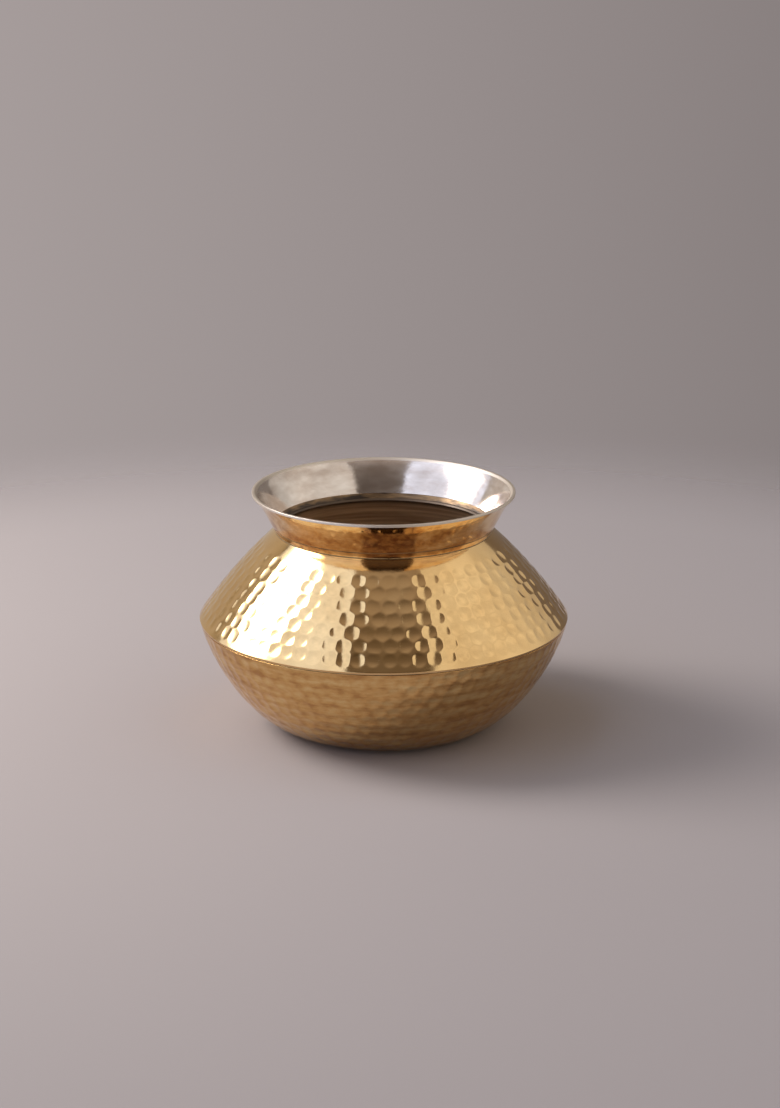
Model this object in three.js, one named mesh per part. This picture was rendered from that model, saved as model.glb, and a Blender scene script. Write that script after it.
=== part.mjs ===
// A handi: a wide brass cooking pot of three sheets. A dished bowl and a domed shoulder are lapped
// and brazed at the belly, a flared collar stands square on the shoulder round its hole and is brazed
// there, and a coat of tin covers the inside of the collar and its rim.
// Millimetres, +Z up. The origin is the middle of the flat base, on the surface that the pot stands on.
import * as THREE from "three";

// Sheets and films
const SHEET = 1.6; // thickness of every brass sheet
const BRAZE = 0.3; // film of braze in each joint
const TIN = 0.3; // coat of tin, drawn thicker than a wiped coat so that it is a sound solid

// Bowl
const BELLY_RADIUS = 110; // widest edge, where shoulder and bowl meet
const BELLY_HEIGHT = 66.2;
const BASE_RADIUS = 53.5; // flat that the pot stands on
const BASE_SPREAD = 24.6; // how far the wall stays low after it leaves the base
const WALL_LEAN = 76.7; // degrees from level, of the wall just under the belly
const WALL_RISE = 25.4; // how far the wall keeps that lean

// Shoulder
const NECK_RADIUS = 64; // corner between the shoulder and the collar
const SHOULDER_RISE = 52.8; // from the belly to that corner
const SHOULDER_CROWN = 2; // how far the shoulder bulges past a straight cone

// Collar
const COLLAR_RISE = 23.6; // from the corner at the neck to the rim
const RIM_OVERHANG = 13.8; // how far the rim reaches past that corner
const RIM_EDGE = 1.4; // height of the upright edge of the rim
const COLLAR_LEAN = 28; // degrees from upright, above the bead at the collar's foot
const COLLAR_START = 10; // how far the collar keeps that lean
const RIM_LEAN = 52; // degrees from upright, under the rim's edge
const RIM_SWEEP = 6; // how far down the collar keeps that lean
const TIN_START = 3.1; // from the bead at the collar's foot up to the edge of the tin

// Belly joint
const LAP = 7; // width of the bowl's flange, under the shoulder
const ARRIS_LAND = 1.2; // upright band under the sharp edge, on the shoulder's cut edge
const SEAM_GAP = 0.5; // open groove between the shoulder's cut edge and the bowl
const SEAM_DROP = 0.5; // how far the lap reaches down past the sharp edge
const SEAM_FILL = 0.6; // share of the groove's depth that braze fills
const FILLET = 0.9; // leg of the braze fillet over the flange's edge, and twice that of the neck's beads

// Steps of the facets
const FACETS = 60; // around
const BOWL_STEPS = 10;
const SHOULDER_STEPS = 5;
const COLLAR_STEPS = 6;

const rimTop = BELLY_HEIGHT + SHOULDER_RISE + COLLAR_RISE;

// Outlines are lines of points, with x the radius and y the height
const at = (radius, height) => new THREE.Vector2(radius, height);

// Unit vector at an angle from level
function bearing(degrees) {
  const angle = THREE.MathUtils.degToRad(degrees);
  return at(Math.cos(angle), Math.sin(angle));
}

const heading = (from, to) => to.clone().sub(from).normalize();

// Moves a line of points to the left of its own direction, with mitred corners
function offset(points, distance) {
  return points.map((point, i) => {
    const before = i > 0 ? heading(points[i - 1], point) : heading(point, points[1]);
    const after = i < points.length - 1 ? heading(point, points[i + 1]) : before;
    const mitre = at(-before.y - after.y, before.x + after.x);
    return point.clone().addScaledVector(mitre, distance / (1 + before.dot(after)));
  });
}

// Adds a point straight on past the end of a line of points
function prolong(points, distance) {
  const [last, end] = points.slice(-2);
  return [...points, end.clone().addScaledVector(heading(last, end), distance)];
}

// Keeps the start of a line of points, up to where a measure of them falls to zero
function keepWhile(points, measure) {
  const stop = points.findIndex((point) => measure(point) < 0);
  if (stop < 0) return points;
  const [inside, outside] = [measure(points[stop - 1]), measure(points[stop])];
  const end = points[stop - 1].clone().lerp(points[stop], inside / (inside - outside));
  return [...points.slice(0, stop), end];
}

// Shoulder's outer face, from the belly's sharp edge up to the corner at the neck
const arris = at(BELLY_RADIUS, BELLY_HEIGHT);
const neck = at(NECK_RADIUS, BELLY_HEIGHT + SHOULDER_RISE);
const coneSide = heading(arris, neck);
const crown = arris.clone().add(neck).multiplyScalar(0.5);
crown.addScaledVector(at(coneSide.y, -coneSide.x), 2 * SHOULDER_CROWN);
const shoulderCurve = new THREE.QuadraticBezierCurve(arris, crown, neck);
const alongShoulder = (distance) => shoulderCurve.getPointAt(distance / shoulderCurve.getLength());

// The same face, carried down past the sharp edge, with a point at each end of the belly joint
const lapEnd = alongShoulder(LAP);
const filletEnd = alongShoulder(LAP + FILLET);
const drop = arris.clone().addScaledVector(heading(lapEnd, arris), SEAM_DROP);
const skin = [drop, arris, lapEnd, filletEnd];
const plain = shoulderCurve.getLength() - LAP - FILLET - FILLET / 2;
for (let i = 1; i <= SHOULDER_STEPS; i += 1) {
  skin.push(alongShoulder(LAP + FILLET + (plain * i) / SHOULDER_STEPS));
}

// Then straight on under the collar's foot to the edge of the hole, with room for a bead on each side
const beadToe = skin[skin.length - 1];
const neckSide = heading(beadToe, neck);
skin.push(neck.clone().addScaledVector(neckSide, SHEET + FILLET / 2));

// Faces at each depth under that skin: the shoulder's inner face and the two faces of the bowl's flange
const shoulderInner = offset(skin, SHEET);
const flangeOuter = offset(skin, SHEET + BRAZE).slice(0, 3);
const flangeInner = offset(skin, 2 * SHEET + BRAZE).slice(1, 3);

// Belly joint's groove: a corner on each sheet, and the line across it where the braze stops
const wallTop = bearing(WALL_LEAN);
const landFoot = arris.clone().addScaledVector(wallTop, -ARRIS_LAND);
const bowlTop = arris.clone().addScaledVector(wallTop, -ARRIS_LAND - SEAM_GAP);
const fillAbove = shoulderInner[0].clone().lerp(landFoot, SEAM_FILL);
const fillBelow = flangeOuter[0].clone().lerp(bowlTop, SEAM_FILL);
const filletOnEdge = flangeOuter[2].clone().lerp(flangeInner[1], FILLET / SHEET);

// Collar's outer face, from its foot on the film of braze to the rim's upright edge, with a point
// where the bead ends and one where the tin begins on the other face
const rimRadius = NECK_RADIUS + RIM_OVERHANG;
const square = at(neckSide.y, -neckSide.x);
const collarFoot = neck.clone().addScaledVector(square, BRAZE);
const collarStart = collarFoot.clone().addScaledVector(square, FILLET / 2);
const collarEnd = at(rimRadius - TIN, rimTop - RIM_EDGE);
const collarCurve = new THREE.CubicBezierCurve(
  collarStart,
  collarStart.clone().addScaledVector(bearing(90 - COLLAR_LEAN), COLLAR_START),
  collarEnd.clone().addScaledVector(bearing(90 - RIM_LEAN), -RIM_SWEEP),
  collarEnd,
);
const collarOuter = [collarFoot, collarStart];
const tinned = 1 - TIN_START / collarCurve.getLength();
for (let i = COLLAR_STEPS; i >= 0; i -= 1) {
  collarOuter.push(collarCurve.getPointAt(1 - (tinned * i) / COLLAR_STEPS));
}

// Inner face of a collar of this thickness, up to a level top
function collarInner(thickness, top) {
  return keepWhile(prolong(offset(collarOuter, thickness), 2 * SHEET), (point) => top - point.y);
}

const collarBrassInner = collarInner(SHEET, rimTop - TIN);
const tinnedBrass = collarBrassInner.slice(2);
const tinInner = collarInner(SHEET + TIN, rimTop).slice(2);

// Closed outline of the shoulder's sheet, cut square at the hole
function shoulderOutline() {
  return [landFoot, ...skin.slice(1), ...shoulderInner.slice().reverse(), fillAbove];
}

// Outline of the bowl's sheet, from the middle of its base to the flange and back along its inside
function bowlOutline() {
  const baseEdge = at(BASE_RADIUS, 0);
  const wall = new THREE.CubicBezierCurve(
    baseEdge,
    at(BASE_RADIUS + BASE_SPREAD, 0),
    bowlTop.clone().addScaledVector(wallTop, -WALL_RISE),
    bowlTop,
  ).getSpacedPoints(BOWL_STEPS);
  const flangeSide = heading(flangeInner[0], flangeInner[1]);
  const insideFlange = (point) => flangeSide.cross(point.clone().sub(flangeInner[0]));
  const inner = keepWhile(offset([at(0, 0), ...wall], SHEET), insideFlange).reverse();
  const flange = [fillBelow, ...flangeOuter, filletOnEdge, ...flangeInner.slice().reverse()];
  return [at(0, 0), ...wall, ...flange, ...inner];
}

// Closed outline of the collar's sheet
function collarOutline() {
  const brassTop = at(rimRadius - TIN, rimTop - TIN);
  return [...collarOuter, brassTop, ...collarBrassInner.slice().reverse()];
}

// Film in the belly joint, from the groove to a fillet over the flange's cut edge
function bellyBrazeOutline() {
  return [fillBelow, fillAbove, ...shoulderInner.slice(0, 4), filletOnEdge, ...flangeOuter.slice().reverse()];
}

// Film under the collar's foot, with a bead outside and one inside
function neckBrazeOutline() {
  const [footInside, beadInside] = collarBrassInner;
  return [beadToe, collarStart, collarFoot, footInside, beadInside, skin[skin.length - 1]];
}

// Coat of tin inside the collar, over the rim and down its upright edge
function tinOutline() {
  const edge = [at(rimRadius, rimTop - RIM_EDGE), at(rimRadius, rimTop)];
  return [...edge, ...tinInner.slice().reverse(), ...tinnedBrass, at(rimRadius - TIN, rimTop - TIN), collarEnd];
}

// Metal as the eye reads it: polished or hammered brass, grey braze, wiped tin
const metal = (color, roughness) => new THREE.MeshStandardMaterial({ color, roughness, metalness: 1 });

// Turns an outline about the pot's axis. One that doesn't start on the axis is closed on itself.
function turned(name, outline, material) {
  const profile = outline[0].x > 0 ? [...outline, outline[0]] : outline;
  const geometry = new THREE.LatheGeometry(profile, FACETS);
  geometry.rotateX(Math.PI / 2);
  const mesh = new THREE.Mesh(geometry, material);
  mesh.name = name;
  return mesh;
}

const handi = new THREE.Group();
handi.add(
  turned("bowl", bowlOutline(), metal(0xc49a52, 0.32)),
  turned("shoulder", shoulderOutline(), metal(0xe6c37a, 0.18)),
  turned("collar", collarOutline(), metal(0xd9a962, 0.22)),
  turned("belly_braze", bellyBrazeOutline(), metal(0xb59a63, 0.4)),
  turned("neck_braze", neckBrazeOutline(), metal(0xbfa873, 0.35)),
  turned("tin_lining", tinOutline(), metal(0xd2ccc6, 0.3)),
);

export default handi;
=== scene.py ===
# A handi: a wide brass cooking pot of three sheets. A dished bowl and a domed shoulder are lapped
# and brazed at the belly, a flared collar stands square on the shoulder round its hole, and a coat
# of tin covers the inside of the collar and its rim. The hammer marks are real dents in the sheets.
# Outlines are worked out in millimetres, and every Blender object is in metres.
import math
import bpy
import numpy as np
from mathutils import Matrix, Vector


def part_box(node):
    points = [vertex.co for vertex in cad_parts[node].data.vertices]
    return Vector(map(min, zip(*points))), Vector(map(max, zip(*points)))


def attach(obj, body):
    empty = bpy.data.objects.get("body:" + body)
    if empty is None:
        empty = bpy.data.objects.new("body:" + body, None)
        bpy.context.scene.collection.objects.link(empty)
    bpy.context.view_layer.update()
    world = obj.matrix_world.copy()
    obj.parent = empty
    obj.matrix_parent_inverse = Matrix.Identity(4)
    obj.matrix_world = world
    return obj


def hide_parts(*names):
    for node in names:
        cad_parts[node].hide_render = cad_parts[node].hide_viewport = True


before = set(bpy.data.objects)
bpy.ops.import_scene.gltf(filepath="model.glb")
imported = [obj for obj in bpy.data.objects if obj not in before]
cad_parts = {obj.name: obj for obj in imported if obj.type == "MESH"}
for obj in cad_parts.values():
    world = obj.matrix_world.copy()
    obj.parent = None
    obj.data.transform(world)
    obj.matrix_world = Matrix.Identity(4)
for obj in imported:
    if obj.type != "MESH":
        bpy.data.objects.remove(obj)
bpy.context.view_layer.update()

MM = 0.001

# Overall sizes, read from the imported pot
BELLY_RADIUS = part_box("shoulder")[1].x / MM
RIM_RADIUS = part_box("tin_lining")[1].x / MM
RIM_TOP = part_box("tin_lining")[1].z / MM

# Sheets and films
SHEET = 1.6  # thickness of every brass sheet
BRAZE = 0.3  # film of braze in each joint
TIN = 0.3  # coat of tin

# Bowl
BELLY_HEIGHT = 66.2
BASE_RADIUS = 53.5  # flat that the pot stands on
BASE_SPREAD = 24.6  # how far the wall stays low after it leaves the base
WALL_LEAN = 76.7  # degrees from level, of the wall just under the belly
WALL_RISE = 25.4  # how far the wall keeps that lean

# Shoulder
SHOULDER_CROWN = 2  # how far the shoulder bulges past a straight cone

# Collar
COLLAR_RISE = 23.6  # from the corner at the neck to the rim
RIM_OVERHANG = 13.8  # how far the rim reaches past that corner
RIM_EDGE = 1.4  # height of the upright edge of the rim
COLLAR_LEAN = 28  # degrees from upright, above the bead at the collar's foot
COLLAR_START = 10  # how far the collar keeps that lean
RIM_LEAN = 52  # degrees from upright, under the rim's edge
RIM_SWEEP = 6  # how far down the collar keeps that lean
TIN_START = 3.1  # from the bead at the collar's foot up to the edge of the tin

# Belly joint
LAP = 7  # width of the bowl's flange, under the shoulder
ARRIS_LAND = 1.2  # upright band under the sharp edge, on the shoulder's cut edge
SEAM_GAP = 0.5  # open groove between the shoulder's cut edge and the bowl
SEAM_DROP = 0.5  # how far the lap reaches down past the sharp edge
SEAM_FILL = 0.6  # share of the groove's depth that braze fills
FILLET = 0.9  # leg of the braze fillet over the flange's edge, and twice that of the neck's beads

# Hammer marks, in rows from the sharp edge: from row to row, from mark to mark in a row, radius and
# depth of one mark, and the middle of the first row. The scatter of the rows is scaled for each sheet.
SHOULDER_MARKS = dict(pitch=8.1, across=8.7, radius=4.35, depth=0.38, bare=7.0, rows=7, seed=11, scatter=1.0)
BOWL_MARKS = dict(pitch=7.6, across=8.6, radius=4.5, depth=0.44, bare=5.5, rows=12, seed=23, scatter=2.0)
ROW_WAVES = 0.3  # waves in a row
MARK_SHIFT = 0.2  # shift of a mark across its row
SPACING_SHIFT = 0.05  # shift of a mark along its row, as a share of the spacing
MARK_RADII = (0.93, 1.06)  # least and greatest shares of a mark's radius
MARK_DEPTHS = (0.7, 1.15)  # and of its depth

# Painted reflection on the collar's front, a dark patch that stands in for the light tent's dark gap: its
# middle and how far it reaches
COLLAR_PAINTED_REFLECTION = (3.2, -74, 131)
PAINTED_REFLECTION_REACH = (15.5, 30, 40)

# Change of colour below an edge, worn on the tin and painted shade inside the shoulder: how deep it begins,
# and how deep it is full
RUBBED = (1.6, 0.9)  # tin, below the rim
# Painted shade, dark inside the shoulder just below the neck
NECK_SHADE_DEPTHS = (4, 1)  # inside of the shoulder, below the neck

# Mesh
COLUMNS = 864  # facets around the hammered sheets
SMOOTH_COLUMNS = 360  # facets around the smooth ones
STEP = 0.8  # along the shoulder's hammered face
BOWL_STEP = 1.15  # along the bowl's
SMOOTH_STEP = 1.6  # along a smooth one
BASE_RINGS = (0, 7, 14, 28, 41)  # radii of the rings on the flat base
THINNED_RADIUS = 30  # rings inside it have half the facets, and half again at each half of it
MOST_THINNED = 8  # how many times fewer facets, at the most, a ring near the axis has
ON_AXIS = 1e-6  # a radius under this is a point on the axis
EDGE = 0.3  # radius of the filed edges
FILED_TURN = 20  # degrees, the least turn of a corner that is filed
CREASE = 34  # degrees, the least angle between two faces that shades as a sharp edge
CURVE_POINTS = 400
ARC_POINTS = 5
ARC_ROOM = 0.45  # most of a side that the arc at one of its ends takes up
UNDERNEATH = 0.6 * SHEET  # how deep a face lies under the outer one if it is an inside face
COLLAR_SPREAD = 0.8  # rough spread of the collar for each millimetre of its height

# Studio, with the floor in metres. Directions are given by azimuth, from the camera's side towards +X,
# and elevation, and an edge of the light tent by two of them.
FLOOR = (0.335, 0.287, 0.271)
FLOOR_REACH = 1.25
FLOOR_MIDDLE = (0, -0.05, 0)
FLOOR_FADE = (0.5, 0.82)  # distances from that middle between which the floor fades into the backdrop
LEFT_EDGES = (((-62, 72), (-32, 53.5)), ((-131.5, 32), (-124.7, 20.7)))
RIGHT_EDGES = (((72.5, 69), (42.2, 52)), ((140, 25), (139, 16)))
REAR_EDGE = ((-100, 0), (100, 20))
EDGE_BLUR = 0.01  # half the width of the soft edge of a wall, as the sine of an angle
SIDE_BLEND = 0.2  # half the width of the blend between the room's left and right
NOISE_SPAN = (0.3, 0.7)  # where nearly all of a noise lies
LAMP_FADE = (0.2, 0.5)  # distances from a lamp's middle, as shares of its size, where it dims to nothing

# Camera, at the photograph's angle
CAMERA_PLACE = (0.00377, -1.43, 0.5273)
CAMERA_PITCH = 16.53  # degrees down from level
LENS = 81.46
SENSOR = 36

NECK_RADIUS = RIM_RADIUS - RIM_OVERHANG
NECK_HEIGHT = RIM_TOP - COLLAR_RISE


# Outlines are lines of points, with the radius first and the height second
def at(radius, height):
    return np.array([radius, height], float)


def bearing(degrees):
    """Unit vector at an angle from level"""
    angle = math.radians(degrees)
    return at(math.cos(angle), math.sin(angle))


def heading(start, end):
    """Unit vector from one point to another"""
    return (end - start) / np.linalg.norm(end - start)


def lengths_along(line):
    """Distance from the start of a line to each of its points"""
    steps = np.linalg.norm(np.diff(line, axis=0), axis=1)
    return np.concatenate(([0], np.cumsum(steps)))


def point_along(line, distance):
    """Point at a distance from the start of a line"""
    along = lengths_along(line)
    return at(np.interp(distance, along, line[:, 0]), np.interp(distance, along, line[:, 1]))


def respaced(line, step):
    """The same line with its points evenly spaced"""
    along = lengths_along(line)
    even = np.linspace(0, along[-1], max(2, round(along[-1] / step) + 1))
    return np.column_stack((np.interp(even, along, line[:, 0]), np.interp(even, along, line[:, 1])))


def bezier(*points):
    """Fine line along the curve that two, three or four points steer"""
    t = np.linspace(0, 1, CURVE_POINTS)[:, None]
    degree = len(points) - 1
    return sum(math.comb(degree, i) * (1 - t) ** (degree - i) * t**i * p for i, p in enumerate(points))


def offset(line, distance):
    """Moves a line to the left of its own direction, with mitred corners"""
    along = np.diff(line, axis=0)
    along /= np.linalg.norm(along, axis=1)[:, None]
    before = np.vstack((along[:1], along))
    after = np.vstack((along, along[-1:]))
    mitre = np.column_stack((-before[:, 1] - after[:, 1], before[:, 0] + after[:, 0]))
    return line + mitre * distance / (1 + (before * after).sum(1))[:, None]


def kept_while(line, measure):
    """The start of a line, up to where a measure of its points falls to zero"""
    values = [measure(point) for point in line]
    stop = next((i for i, value in enumerate(values) if value < 0), None)
    if stop is None:
        return line
    share = values[stop - 1] / (values[stop - 1] - values[stop])
    return np.vstack((line[:stop], line[stop - 1] + share * (line[stop] - line[stop - 1])))


def softened(line, radius, closed):
    """The line with an arc at each sharp corner"""
    on_arc = np.linspace(0, CURVE_POINTS - 1, ARC_POINTS).round().astype(int)
    out = []
    for i, point in enumerate(line):
        if not closed and i in (0, len(line) - 1):
            out.append(point)
            continue
        before, after = line[i - 1], line[(i + 1) % len(line)]
        a, b = heading(before, point), heading(point, after)
        turn = math.acos(float(np.clip(a @ b, -1, 1)))
        if turn < math.radians(FILED_TURN):
            out.append(point)
            continue
        room = ARC_ROOM * min(np.linalg.norm(point - before), np.linalg.norm(after - point))
        reach = min(radius * math.tan(turn / 2), room)
        start, end = point - reach * a, point + reach * b
        out.extend(bezier(start, point, end)[on_arc])
    return np.array(out)


# Shoulder's outer face, from the belly's sharp edge up to the corner at the neck
arris = at(BELLY_RADIUS, BELLY_HEIGHT)
neck = at(NECK_RADIUS, NECK_HEIGHT)
cone_side = heading(arris, neck)
crown = (arris + neck) / 2 + at(cone_side[1], -cone_side[0]) * 2 * SHOULDER_CROWN
shoulder_face = bezier(arris, crown, neck)
face_length = lengths_along(shoulder_face)[-1]
lap_end = point_along(shoulder_face, LAP)
fillet_end = point_along(shoulder_face, LAP + FILLET)
drop = arris - heading(arris, lap_end) * SEAM_DROP

# Then straight on under the collar's foot to the edge of the hole, with room for a bead on each side
bead_toe = point_along(shoulder_face, face_length - FILLET / 2)
neck_side = heading(bead_toe, neck)
hole_edge = neck + neck_side * (SHEET + FILLET / 2)
below_bead = shoulder_face[lengths_along(shoulder_face) < face_length - FILLET / 2]
shoulder_face = respaced(np.vstack((below_bead, bead_toe)), STEP)
beyond = shoulder_face[lengths_along(shoulder_face) > LAP + FILLET + STEP]
skin = np.vstack((drop, arris, lap_end, fillet_end, beyond, hole_edge))

# Faces at each depth under that skin: the shoulder's inner face and the two faces of the bowl's flange
shoulder_inner = offset(skin, SHEET)
flange_outer = offset(skin, SHEET + BRAZE)[:3]
flange_inner = offset(skin, 2 * SHEET + BRAZE)[1:3]

# Groove under the sharp edge: a corner on each sheet, and the line across it where the braze stops
wall_top = bearing(WALL_LEAN)
land_foot = arris - wall_top * ARRIS_LAND
bowl_top = arris - wall_top * (ARRIS_LAND + SEAM_GAP)
fill_above = shoulder_inner[0] + SEAM_FILL * (land_foot - shoulder_inner[0])
fill_below = flange_outer[0] + SEAM_FILL * (bowl_top - flange_outer[0])
fillet_on_edge = flange_outer[2] + FILLET / SHEET * (flange_inner[1] - flange_outer[2])

# Bowl's outer face, from the edge of its flat base up to that groove
bowl_wall = bezier(
    at(BASE_RADIUS, 0),
    at(BASE_RADIUS + BASE_SPREAD, 0),
    bowl_top - wall_top * WALL_RISE,
    bowl_top,
)
bowl_wall = respaced(bowl_wall, BOWL_STEP)

# Collar's outer face, from its foot on the film of braze to the rim's upright edge, with a point
# where the bead ends and one where the tin begins on the other face
square = at(neck_side[1], -neck_side[0])
collar_foot = neck + square * BRAZE
collar_start = collar_foot + square * FILLET / 2
collar_end = at(RIM_RADIUS - TIN, RIM_TOP - RIM_EDGE)
collar_curve = bezier(
    collar_start,
    collar_start + bearing(90 - COLLAR_LEAN) * COLLAR_START,
    collar_end - bearing(90 - RIM_LEAN) * RIM_SWEEP,
    collar_end,
)
tin_line = point_along(collar_curve, TIN_START)
tinned = lengths_along(collar_curve) > TIN_START
below_tin = respaced(np.vstack((collar_curve[~tinned], tin_line)), SMOOTH_STEP / 2)
above_tin = respaced(np.vstack((tin_line, collar_curve[tinned])), SMOOTH_STEP / 2)
collar_outer = np.vstack((collar_foot, below_tin, above_tin[1:]))


def collar_inner(thickness, top):
    """Inner face of a collar of this thickness, up to a level top"""
    line = offset(collar_outer, thickness)
    line = np.vstack((line, line[-1] + heading(line[-2], line[-1]) * 2 * SHEET))
    return kept_while(line, lambda point: top - point[1])


brass_inner = collar_inner(SHEET, RIM_TOP - TIN)
tinned_brass = brass_inner[len(below_tin):]
tin_inner = collar_inner(SHEET + TIN, RIM_TOP)[len(below_tin):]


def shoulder_outline():
    """Closed outline of the shoulder's sheet, cut square at the hole"""
    inner = np.vstack((respaced(shoulder_inner[3:-1], 3 * SMOOTH_STEP)[::-1], shoulder_inner[2::-1]))
    return np.array([land_foot, *shoulder_face, hole_edge, shoulder_inner[-1], *inner, fill_above])


def bowl_outline():
    """Outline of the bowl's sheet, from the middle of its base to the flange and back along its inside"""
    base = [at(radius, 0) for radius in BASE_RINGS]
    side = heading(flange_inner[0], flange_inner[1])

    def inside_flange(point):
        away = point - flange_inner[0]
        return side[0] * away[1] - side[1] * away[0]

    inner = kept_while(offset(np.vstack((base, bowl_wall)), SHEET), inside_flange)
    flat, wall = inner[:len(base)], inner[len(base):]
    inner = np.vstack((flat, respaced(wall, 2 * SMOOTH_STEP)))[::-1]
    flange = [fill_below, *flange_outer, fillet_on_edge, *flange_inner[::-1]]
    return np.array([*base, *bowl_wall, *flange, *inner])


def collar_outline():
    """Closed outline of the collar's sheet"""
    return np.vstack((collar_outer, at(RIM_RADIUS - TIN, RIM_TOP - TIN), brass_inner[::-1]))


def belly_braze_outline():
    """Film in the belly joint, from the groove to a fillet over the flange's cut edge"""
    return np.vstack((fill_below, fill_above, shoulder_inner[:4], fillet_on_edge, flange_outer[::-1]))


def neck_braze_outline():
    """Film under the collar's foot, with a bead outside and one inside"""
    foot_inside, bead_inside = brass_inner[:2]
    return np.vstack((bead_toe, collar_start, collar_foot, foot_inside, bead_inside, hole_edge))


def tin_outline():
    """Coat of tin inside the collar, over the rim and down its upright edge"""
    edge = [at(RIM_RADIUS, RIM_TOP - RIM_EDGE), at(RIM_RADIUS, RIM_TOP)]
    corner = at(RIM_RADIUS - TIN, RIM_TOP - TIN)
    return np.vstack((edge, tin_inner[::-1], tinned_brass, corner, collar_end))


def marks_in_rows(face, pitch, across, radius, depth, bare, rows, seed, scatter):
    """Hammer marks in rings round a face: distance along it, angle, radius and depth of each"""
    rng = np.random.default_rng(seed)
    marks = []
    for row in range(rows):
        middle = bare + row * pitch
        count = round(2 * math.pi * point_along(face, middle)[0] / across)
        start = rng.uniform(0, 1)
        drift = rng.normal(0, ROW_WAVES * scatter, 4)
        for k in range(count):
            angle = (k + start + rng.normal(0, SPACING_SHIFT * scatter)) * 2 * math.pi / count
            # Four waves round the row, each with a phase of its own that follows from its height
            wander = sum(d * math.cos((n + 1) * angle + 7 * d) for n, d in enumerate(drift))
            distance = middle + wander + rng.normal(0, MARK_SHIFT * scatter)
            size = radius * rng.uniform(*MARK_RADII)
            marks.append((distance, angle, size, depth * rng.uniform(*MARK_DEPTHS)))
    return marks


def dents(outline, along, columns, marks):
    """How deep each point of a turned sheet is dented, a row for each point of its outline"""
    deep = np.zeros((len(outline), columns))
    angles = np.arange(columns) * 2 * math.pi / columns
    for distance, angle, size, depth in marks:
        rows = np.nonzero(abs(along - distance) < size)[0]
        if len(rows) == 0:
            continue
        turn = (angles - angle + math.pi) % (2 * math.pi) - math.pi
        near = np.nonzero(abs(turn) * outline[rows, 0].min() < size)[0]
        away = np.hypot((along[rows] - distance)[:, None], turn[near][None] * outline[rows, 0][:, None])
        block = np.ix_(rows, near)
        deep[block] = np.maximum(deep[block], depth * (1 - (away / size) ** 2))
    return deep


def strip(a, n, b, m):
    """Faces between a ring of n points that starts at a and one of m that starts at b, where one is
    a single point on the axis, both are alike, or one has twice the points of the other"""
    if n == 1:
        return [(a, b + (i + 1) % m, b + i) for i in range(m)]
    if m == 1:
        return [(a + i, a + (i + 1) % n, b) for i in range(n)]
    if n == m:
        return [(a + i, a + (i + 1) % n, b + (i + 1) % n, b + i) for i in range(n)]
    if n == 2 * m:
        faces = [(a + 2 * i, a + 2 * i + 1, b + i) for i in range(m)]
        return faces + [(a + 2 * i + 1, a + (2 * i + 2) % n, b + (i + 1) % m, b + i) for i in range(m)]
    faces = [(a + i, b + 2 * i + 1, b + 2 * i) for i in range(n)]
    return faces + [(a + i, a + (i + 1) % n, b + (2 * i + 2) % m, b + 2 * i + 1) for i in range(n)]


def ring_counts(line, columns, coarse):
    """Facets of the ring at each point of an outline: fewer near the axis and on a coarse face"""
    counts = []
    for point in line:
        count = columns // 2 if coarse is not None and coarse(point) else columns
        while point[0] < THINNED_RADIUS * count / columns and count > columns // MOST_THINNED:
            count //= 2
        counts.append(1 if point[0] < ON_AXIS else count)
    # Neighbouring rings differ by no more than a half, except at the axis
    for i in range(1, len(counts)):
        if counts[i] > 2 * counts[i - 1] > 2:
            counts[i] = 2 * counts[i - 1]
    for i in range(len(counts) - 2, -1, -1):
        if counts[i] > 2 * counts[i + 1] > 2:
            counts[i] = 2 * counts[i + 1]
    return counts


def turned(
    name, outline, columns, materials, closed=True, marks=(), mark_start=None, coarse=None, inner=None,
):
    """Turns an outline about the pot's axis, and dents it with hammer marks, whose distances are from
    mark_start. Rings that coarse picks out have half the facets, and faces that inner picks out take
    the second material."""
    line = softened(outline, EDGE, closed)
    along = lengths_along(line)
    if mark_start is not None:
        along = along - along[np.linalg.norm(line - mark_start, axis=1).argmin()]
    deep = dents(line, along, columns, marks)
    tangent = np.gradient(line, axis=0)
    tangent /= np.linalg.norm(tangent, axis=1)[:, None]
    counts = ring_counts(line, columns, coarse)
    starts = np.concatenate(([0], np.cumsum(counts))).tolist()
    points, depths = [], []
    for (radius, height), count, dent, (tr, tz) in zip(line, counts, deep, tangent):
        angle = np.arange(count) * 2 * math.pi / count
        dent = dent[:: columns // count][:count]
        depths.append(dent)
        r, z = radius - dent * tz, height + dent * tr
        points.append(np.column_stack((r * np.cos(angle), r * np.sin(angle), z * np.ones(count))))
    faces, slots = [], []
    pairs = [(i, i + 1) for i in range(len(line) - 1)] + ([(len(line) - 1, 0)] if closed else [])
    for i, j in pairs:
        new = strip(starts[i], counts[i], starts[j], counts[j])
        faces += new
        is_inner = inner is not None and inner((line[i] + line[j]) / 2)
        slots += [1 if is_inner else 0] * len(new)
    mesh = bpy.data.meshes.new(name + "_visual")
    mesh.from_pydata((np.vstack(points) * MM).tolist(), [], faces)
    mesh.attributes.new("dent", "FLOAT", "POINT").data.foreach_set("value", np.concatenate(depths))
    mesh.polygons.foreach_set("use_smooth", [True] * len(faces))
    for material in materials:
        mesh.materials.append(material)
    mesh.polygons.foreach_set("material_index", slots)
    mesh.set_sharp_from_angle(angle=math.radians(CREASE))
    mesh.update()
    piece = bpy.data.objects.new(name + "_visual", mesh)
    bpy.context.scene.collection.objects.link(piece)
    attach(piece, "root")
    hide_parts(name)
    return piece


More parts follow.
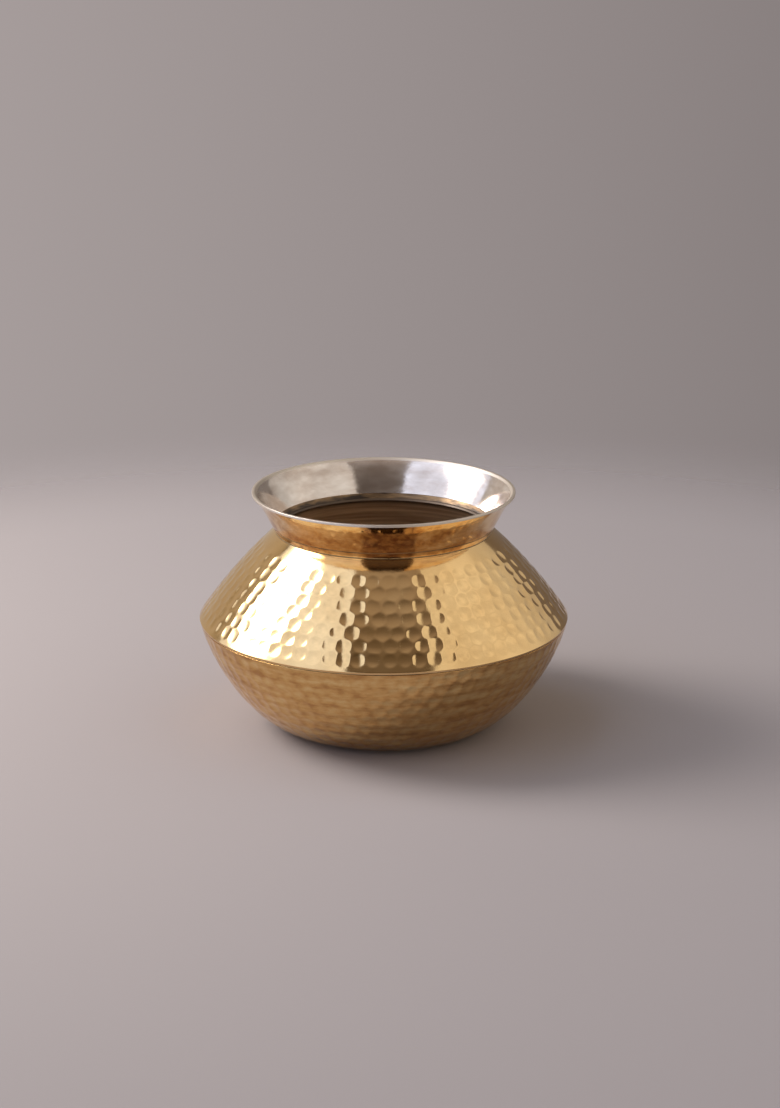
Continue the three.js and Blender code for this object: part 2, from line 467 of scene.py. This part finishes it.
class Nodes:
    """The node tree of a material, lamp or world, with short calls to add nodes to it"""

    def __init__(self, owner, shader="Principled BSDF"):
        owner.use_nodes = True
        self.owner = owner
        self.tree = owner.node_tree
        self.shader = self.tree.nodes[shader]

    def add(self, kind, inputs=(), **settings):
        """Adds a node, with its inputs by name or number"""
        node = self.tree.nodes.new("ShaderNode" + kind)
        for key, value in settings.items():
            setattr(node, key, value)
        for key, value in dict(inputs).items():
            self.set(node.inputs[key], value)
        return node

    def set(self, socket, value):
        """Links a socket to another, or gives it a plain value"""
        if isinstance(value, bpy.types.NodeSocket):
            self.tree.links.new(value, socket)
        else:
            socket.default_value = value

    def place(self, scale):
        """Position on the object, in millimetres, stretched by a scale for each axis"""
        where = self.add("TexCoord").outputs["Object"]
        factor = tuple(s / MM for s in scale)
        return self.add("VectorMath", {0: where, 1: factor}, operation="MULTIPLY").outputs[0]

    def height(self):
        """Height on the object, in metres"""
        return self.add("SeparateXYZ", {0: self.add("TexCoord").outputs["Object"]}).outputs["Z"]

    def rising(self, low, high):
        """0 below one height, in millimetres, and 1 above another"""
        return self.range(self.height(), low * MM, high * MM, 0, 1)

    def noise(self, scale, detail=4, rough=0.55):
        """Noise with so many waves to the millimetre along each axis"""
        inputs = {"Vector": self.place(scale), "Scale": 1.0, "Detail": detail, "Roughness": rough}
        return self.add("TexNoise", inputs).outputs["Fac"]

    def ramp(self, factor, *stops):
        """Colours at positions along a factor"""
        node = self.add("ValToRGB", {"Fac": factor})
        elements = node.color_ramp.elements
        while len(elements) < len(stops):
            elements.new(0.5)
        for element, (position, colour) in zip(elements, stops):
            element.position = position
            element.color = (*colour, 1)
        return node.outputs["Color"]

    def range(self, factor, low, high, new_low, new_high, **settings):
        """Carries a factor from one range to another, and holds it inside that one"""
        inputs = {"Value": factor, "From Min": low, "From Max": high, "To Min": new_low, "To Max": new_high}
        return self.add("MapRange", inputs, **settings).outputs["Result"]

    def spread(self, noise, new_low, new_high):
        """Carries a noise over a range"""
        return self.range(noise, *NOISE_SPAN, new_low, new_high)

    def math(self, operation, *values):
        return self.add("Math", dict(enumerate(values)), operation=operation).outputs[0]

    def mixed(self, factor, a, b):
        """Colour a where the factor is 0 and colour b where it is 1"""
        node = self.add("Mix", {0: factor}, data_type="RGBA")
        # A Mix node's sockets 6 and 7 are its two colours, and its third output is theirs mixed
        for socket, value in ((node.inputs[6], a), (node.inputs[7], b)):
            self.set(socket, (*value, 1) if isinstance(value, tuple) else value)
        return node.outputs[2]

    def patch(self, middle, reach, edge, wobble):
        """1 inside an oval patch with an uneven edge, and 0 outside, as the mask of the painted reflection
        on the collar's front.
        Its middle and its reach are in millimetres, and its edge and wobble are shares of that reach."""

        def vector(operation, *values):
            return self.add("VectorMath", dict(enumerate(values)), operation=operation).outputs

        place = self.add("TexCoord").outputs["Object"]
        away = vector("SUBTRACT", place, tuple(m * MM for m in middle))[0]
        away = vector("MULTIPLY", away, tuple(1 / (r * MM) for r in reach))[0]
        away = vector("LENGTH", away)["Value"]
        away = self.math("MULTIPLY_ADD", self.noise((0.25, 0.25, 0.25)), wobble, away)
        return self.range(away, 1 - edge + wobble / 2, 1 + edge + wobble / 2, 1, 0)

    def bump(self, height, distance, normal=None):
        """Relief of so many millimetres, over that of a normal if there is one"""
        inputs = {"Height": height, "Distance": distance * MM, "Strength": 1.0}
        if normal is not None:
            inputs["Normal"] = normal
        return self.add("Bump", inputs).outputs["Normal"]

    def finish(self, colour, roughness, normal, metallic=1.0):
        self.shader.inputs["Metallic"].default_value = metallic
        self.set(self.shader.inputs["Base Color"], colour)
        self.set(self.shader.inputs["Roughness"], roughness)
        self.set(self.shader.inputs["Normal"], normal)
        return self.owner


def hammered_brass():
    """Polished yellow brass, faintly clouded"""
    n = Nodes(bpy.data.materials.new("hammered_brass"))
    cloud = n.noise((0.03, 0.03, 0.03))
    colour = n.ramp(cloud, (0.35, (0.76, 0.485, 0.21)), (0.65, (0.84, 0.565, 0.265)))
    roughness = n.spread(n.noise((0.12, 0.12, 0.12)), 0.06, 0.14)
    ripple = n.bump(n.noise((0.16, 0.16, 0.16), detail=3), 0.05)
    grain = n.bump(n.noise((2.5, 2.5, 2.5), detail=3), 0.004, normal=ripple)
    return n.finish(colour, roughness, grain)


def browned_brass():
    """Brass browned by the fire in streaks round the bowl, with a painted highlight that makes it a little
    brighter in its dents
    """
    n = Nodes(bpy.data.materials.new("browned_brass"))
    # Painted highlight: the deeper a point of a dent, the paler its colour
    deep = n.range(n.add("Attribute", attribute_name="dent").outputs["Fac"], 0, 0.4, 0, 0.08)
    cloud = n.math("MULTIPLY_ADD", n.noise((0.12, 0.12, 0.3), detail=5, rough=0.65), 0.5, deep)
    browning_and_dent_highlight = n.math("MULTIPLY_ADD", n.noise((0.03, 0.03, 0.25)), 0.5, cloud)
    colour = n.ramp(
        browning_and_dent_highlight, (0.4, (0.56, 0.3, 0.11)), (0.52, (0.76, 0.46, 0.175)), (0.66, (0.88, 0.62, 0.28)),
    )
    roughness = n.range(browning_and_dent_highlight, 0.35, 0.7, 0.17, 0.09)
    ripple = n.bump(n.noise((0.12, 0.12, 0.3), detail=3), 0.1)
    grain = n.bump(n.noise((0.9, 0.9, 1.4), detail=3), 0.012, normal=ripple)
    return n.finish(colour, roughness, grain)


def collar_brass():
    """Blotched brass with fine turning lines, painted lighter towards the rim, and with a painted dark
    reflection at the front
    """
    n = Nodes(bpy.data.materials.new("collar_brass"))
    # Painted light: paler towards the rim and darker at the neck, as the light falls on the collar
    painted_light_to_rim = n.range(n.height(), NECK_HEIGHT * MM, RIM_TOP * MM, -0.05, 0.09)
    blotches_and_painted_light = n.math("ADD", n.noise((0.09, 0.09, 0.13), detail=5, rough=0.65), painted_light_to_rim)
    colour = n.ramp(
        blotches_and_painted_light, (0.36, (0.48, 0.25, 0.1)), (0.48, (0.72, 0.45, 0.2)), (0.62, (0.89, 0.66, 0.38)),
    )
    # Painted reflection: a dark patch at the front, standing in for the light tent's dark gap
    painted_reflection = n.patch(COLLAR_PAINTED_REFLECTION, PAINTED_REFLECTION_REACH, edge=0.09, wobble=0.3)
    streaks = n.noise((0.2, 0.2, 0.3), rough=0.6)
    shade = n.ramp(streaks, (0.4, (0.2, 0.08, 0.035)), (0.62, (0.46, 0.26, 0.11)))
    colour = n.mixed(n.math("MULTIPLY", painted_reflection, 0.9), colour, shade)
    roughness = n.spread(n.noise((0.03, 0.03, 0.9), detail=5), 0.06, 0.15)
    ripple = n.bump(n.noise((0.07, 0.07, 0.1), detail=3), 0.14)
    return n.finish(colour, roughness, n.bump(n.noise((0.04, 0.04, 1.6)), 0.008, normal=ripple))


def collar_inside():
    """Band of bare brass inside the neck, under the tin, with painted shade that makes it almost black at
    the bead and brown above
    """
    n = Nodes(bpy.data.materials.new("collar_inside"))
    cloud = n.noise((0.08, 0.08, 0.4), detail=5)
    # Painted shade: darker down towards the bead in the throat
    painted_throat_shade = n.range(n.height(), NECK_HEIGHT * MM, tinned_brass[0][1] * MM, -0.15, 0.15)
    colour = n.ramp(n.math("ADD", cloud, painted_throat_shade), (0.42, (0.05, 0.032, 0.02)), (0.7, (0.3, 0.18, 0.085)))
    roughness = n.spread(cloud, 0.42, 0.32)
    return n.finish(colour, roughness, n.bump(n.noise((0.1, 0.1, 0.8), detail=3), 0.03), metallic=0.6)


def inside_brass():
    """Dull brown brass with turning rings, and painted shade that darkens it near the hole at the neck"""
    n = Nodes(bpy.data.materials.new("inside_brass"))
    rings = n.noise((0.02, 0.02, 0.4), detail=5)
    colour = n.ramp(rings, (0.35, (0.38, 0.26, 0.16)), (0.65, (0.7, 0.53, 0.36)))
    # Painted shade: darker near the hole at the neck, where the inside of the shoulder is in shade
    painted_neck_shade = n.rising(*(NECK_HEIGHT - depth for depth in NECK_SHADE_DEPTHS))
    colour = n.mixed(painted_neck_shade, colour, (0.09, 0.055, 0.03))
    roughness = n.spread(n.noise((0.1, 0.1, 0.6)), 0.35, 0.5)
    return n.finish(colour, roughness, n.bump(n.noise((0.02, 0.02, 0.9)), 0.06), metallic=0.4)


def braze_metal():
    """Dull and uneven braze"""
    n = Nodes(bpy.data.materials.new("braze_metal"))
    cloud = n.noise((0.3, 0.3, 0.3))
    colour = n.ramp(cloud, (0.3, (0.36, 0.25, 0.12)), (0.7, (0.55, 0.4, 0.21)))
    return n.finish(colour, n.spread(cloud, 0.25, 0.4), n.bump(n.noise((1.5, 1.5, 1.5)), 0.03))


def tin_coat():
    """Wiped tin, satin in soft streaks, and rubbed duller and browner on the rim"""
    n = Nodes(bpy.data.materials.new("tin_coat"))
    wipes = n.noise((0.05, 0.05, 0.12), detail=5)
    colour = n.ramp(wipes, (0.35, (0.56, 0.45, 0.37)), (0.65, (0.8, 0.7, 0.62)))
    rubbed = n.rising(*(RIM_TOP - depth for depth in RUBBED))
    colour = n.mixed(rubbed, colour, (0.64, 0.54, 0.44))
    satin = n.spread(n.noise((0.06, 0.06, 0.3)), 0.08, 0.17)
    roughness = n.math("MULTIPLY_ADD", rubbed, 0.3, satin)
    ripple = n.bump(n.noise((0.09, 0.09, 0.12), detail=3), 0.06)
    grain = n.bump(n.noise((0.3, 0.3, 0.5), detail=3), 0.014, normal=ripple)
    return n.finish(colour, roughness, grain, metallic=0.85)


def under(face):
    """Tells whether a point lies under an outer face, on the inside of its sheet"""
    return lambda point: np.linalg.norm(face - point, axis=1).min() > UNDERNEATH


def below_the_tin(point):
    """Tells whether a point is on the inner face of the collar, under the tin"""
    middle = NECK_RADIUS + (point[1] - NECK_HEIGHT) * COLLAR_SPREAD - SHEET / 2
    return point[1] < tinned_brass[0][1] and point[0] < middle


def in_the_mouth(point):
    """Tells whether a point of the neck's braze is on the bead inside"""
    return point[0] < NECK_RADIUS - SHEET / 2


brass, browned, collar_metal = hammered_brass(), browned_brass(), collar_brass()
inside, collar_band, braze, tin = inside_brass(), collar_inside(), braze_metal(), tin_coat()

shoulder_inside = under(shoulder_face)
base_face = respaced(np.array([at(0, 0), at(BASE_RADIUS, 0)]), STEP)
bowl_inside = under(np.vstack((base_face, bowl_wall)))

shoulder_marks = marks_in_rows(shoulder_face, **SHOULDER_MARKS)

# The bowl's outline runs up to the belly, so its marks lie before that end of its wall
bowl_marks = [(-distance, *mark) for distance, *mark in marks_in_rows(bowl_wall[::-1], **BOWL_MARKS)]

shoulder = turned(
    "shoulder", shoulder_outline(), COLUMNS, (brass, inside),
    marks=shoulder_marks, mark_start=arris, coarse=shoulder_inside, inner=shoulder_inside,
)
bowl = turned(
    "bowl", bowl_outline(), COLUMNS, (browned, inside), closed=False,
    marks=bowl_marks, mark_start=bowl_top, coarse=bowl_inside, inner=bowl_inside,
)
collar = turned(
    "collar", collar_outline(), SMOOTH_COLUMNS, (collar_metal, collar_band), inner=below_the_tin,
)
belly_braze = turned("belly_braze", belly_braze_outline(), SMOOTH_COLUMNS, (braze,))
neck_braze = turned(
    "neck_braze", neck_braze_outline(), SMOOTH_COLUMNS, (braze, collar_band), inner=in_the_mouth,
)
tin_lining = turned("tin_lining", tin_outline(), SMOOTH_COLUMNS, (tin,))


def direction(azimuth, elevation):
    """Unit vector towards an azimuth and an elevation, in degrees"""
    a, e = math.radians(azimuth), math.radians(elevation)
    return Vector((math.sin(a) * math.cos(e), -math.cos(a) * math.cos(e), math.sin(e)))


def softbox(name, start, end, width, radiance, colour, distance):
    """A lamp with a bright middle that spans two directions and so many degrees across them, seen
    from the pot's neck"""
    a, b = direction(*start), direction(*end)
    middle = (a + b).normalized()
    half = a.angle(b) / 2
    data = bpy.data.lights.new(name, "AREA")
    data.shape = "RECTANGLE"
    data.size = 2 * distance * math.tan(half)
    data.size_y = 2 * distance * math.tan(math.radians(width) / 2)
    data.energy = radiance * math.pi * data.size * data.size_y
    data.color = colour
    n = Nodes(data, "Emission")
    place = n.add("NewGeometry").outputs["Parametric"]
    away = n.add("VectorMath", {0: place, 1: (0.5, 0.5, 0)}, operation="DISTANCE").outputs["Value"]
    strength = n.range(away, *LAMP_FADE, 1, 0, interpolation_type="SMOOTHSTEP")
    n.set(n.shader.inputs["Strength"], strength)
    lamp = bpy.data.objects.new(name, data)
    bpy.context.scene.collection.objects.link(lamp)
    along = b - a
    side = (along - middle * along.dot(middle)).normalized()
    turn = Matrix((side, middle.cross(side), middle)).transposed()
    place = Vector((0, 0, NECK_HEIGHT * MM)) + middle * distance
    lamp.matrix_world = Matrix.Translation(place) @ turn.to_4x4()
    lamp.visible_camera = False


softbox(
    "key_light", start=(-93, 58), end=(-104, 14), width=40, radiance=15.5,
    colour=(1.0, 0.98, 0.96), distance=1.2,
)


def make_world():
    """A light tent: a pale wall on each side, a dark gap over the camera's line, and a grey room
    behind. The camera itself sees a grey backdrop, with painted shade that darkens it towards the right."""
    n = Nodes(bpy.data.worlds.new("studio"), "Background")
    bpy.context.scene.world = n.owner
    toward = n.add("TexCoord").outputs["Generated"]
    part = n.add("SeparateXYZ", {0: toward}).outputs

    def facing(a, b, inside):
        """1 on the side of the plane through two directions that a third one lies on"""
        normal = direction(*a).cross(direction(*b)).normalized()
        if normal.dot(direction(*inside)) < 0:
            normal.negate()
        dot = n.add("VectorMath", {0: toward, 1: normal}, operation="DOT_PRODUCT").outputs["Value"]
        return n.range(dot, -EDGE_BLUR, EDGE_BLUR, 0, 1)

    def wall(edges, inside):
        """1 between a wall's two edges, each a plane through two directions"""
        return n.math("MULTIPLY", *(facing(*edge, inside) for edge in edges))

    left, right = wall(LEFT_EDGES, (-90, 20)), wall(RIGHT_EDGES, (90, 20))
    behind = facing(*REAR_EDGE, (180, 20))
    to_the_right = n.range(part["X"], -SIDE_BLEND, SIDE_BLEND, 0, 1)
    gap = n.ramp(
        part["Z"], (0.5, (0.05, 0.04, 0.033)), (0.7, (0.14, 0.112, 0.09)), (0.82, (0.185, 0.152, 0.128)),
        (0.92, (0.34, 0.29, 0.26)), (1.0, (0.42, 0.37, 0.34)),
    )
    far_left = n.ramp(
        part["Y"], (0.5, (0.3, 0.27, 0.22)), (0.7, (0.52, 0.47, 0.41)), (0.85, (0.5, 0.45, 0.39)),
    )
    room = n.mixed(to_the_right, far_left, (0.19, 0.165, 0.15))
    colour = n.mixed(behind, gap, room)
    folds = n.add("TexNoise", {"Vector": toward, "Scale": 3.5, "Detail": 3, "Roughness": 0.6})
    shade = n.spread(folds.outputs["Fac"], 0.82, 1.12)
    fading = n.math("MULTIPLY", shade, n.range(part["Y"], 0.2, 0.7, 1, 0.62))
    for place, tint, cast in ((left, (1.05, 1.18, 1.5), shade), (right, (0.92, 0.9, 0.86), fading)):
        cloth = n.add("VectorMath", {0: tint, 3: cast}, operation="SCALE").outputs[0]
        colour = n.mixed(place, colour, cloth)
    # Painted shade on the backdrop: darker towards the right, away from the key light
    backdrop_with_painted_falloff = n.mixed(to_the_right, (0.4, 0.35, 0.345), (0.23, 0.2, 0.197))
    n.set(n.shader.inputs["Color"], n.mixed(n.add("LightPath").outputs["Is Camera Ray"], colour, backdrop_with_painted_falloff))


def make_floor():
    """A plain table that fades into the backdrop, past the places where the pot's shadow falls"""
    n = Nodes(bpy.data.materials.new("floor"))
    where = n.add("TexCoord").outputs["Object"]
    away = n.add("VectorMath", {0: where, 1: FLOOR_MIDDLE}, operation="DISTANCE").outputs["Value"]
    n.shader.inputs["Roughness"].default_value = 0.9
    n.shader.inputs["Base Color"].default_value = (*FLOOR, 1)
    edge = n.range(away, *FLOOR_FADE, 0, 1, interpolation_type="SMOOTHSTEP")
    mix = n.add("MixShader", {0: edge, 1: n.shader.outputs[0], 2: n.add("BsdfTransparent").outputs[0]})
    n.tree.links.new(mix.outputs[0], n.tree.nodes["Material Output"].inputs["Surface"])
    mesh = bpy.data.meshes.new("floor")
    corners = [(x * FLOOR_REACH, y * FLOOR_REACH, 0) for x, y in ((-1, -1), (1, -1), (1, 1), (-1, 1))]
    mesh.from_pydata(corners, [], [(0, 1, 2, 3)])
    mesh.materials.append(n.owner)
    floor = bpy.data.objects.new("floor", mesh)
    bpy.context.scene.collection.objects.link(floor)


make_world()
make_floor()

lens = bpy.data.cameras.new("camera")
lens.lens = LENS
lens.sensor_width = SENSOR
camera = bpy.data.objects.new("camera", lens)
camera.location = CAMERA_PLACE
camera.rotation_euler = (math.radians(90 - CAMERA_PITCH), 0, 0)
bpy.context.scene.collection.objects.link(camera)
bpy.context.scene.camera = camera

bpy.context.scene.view_settings.view_transform = "Standard"
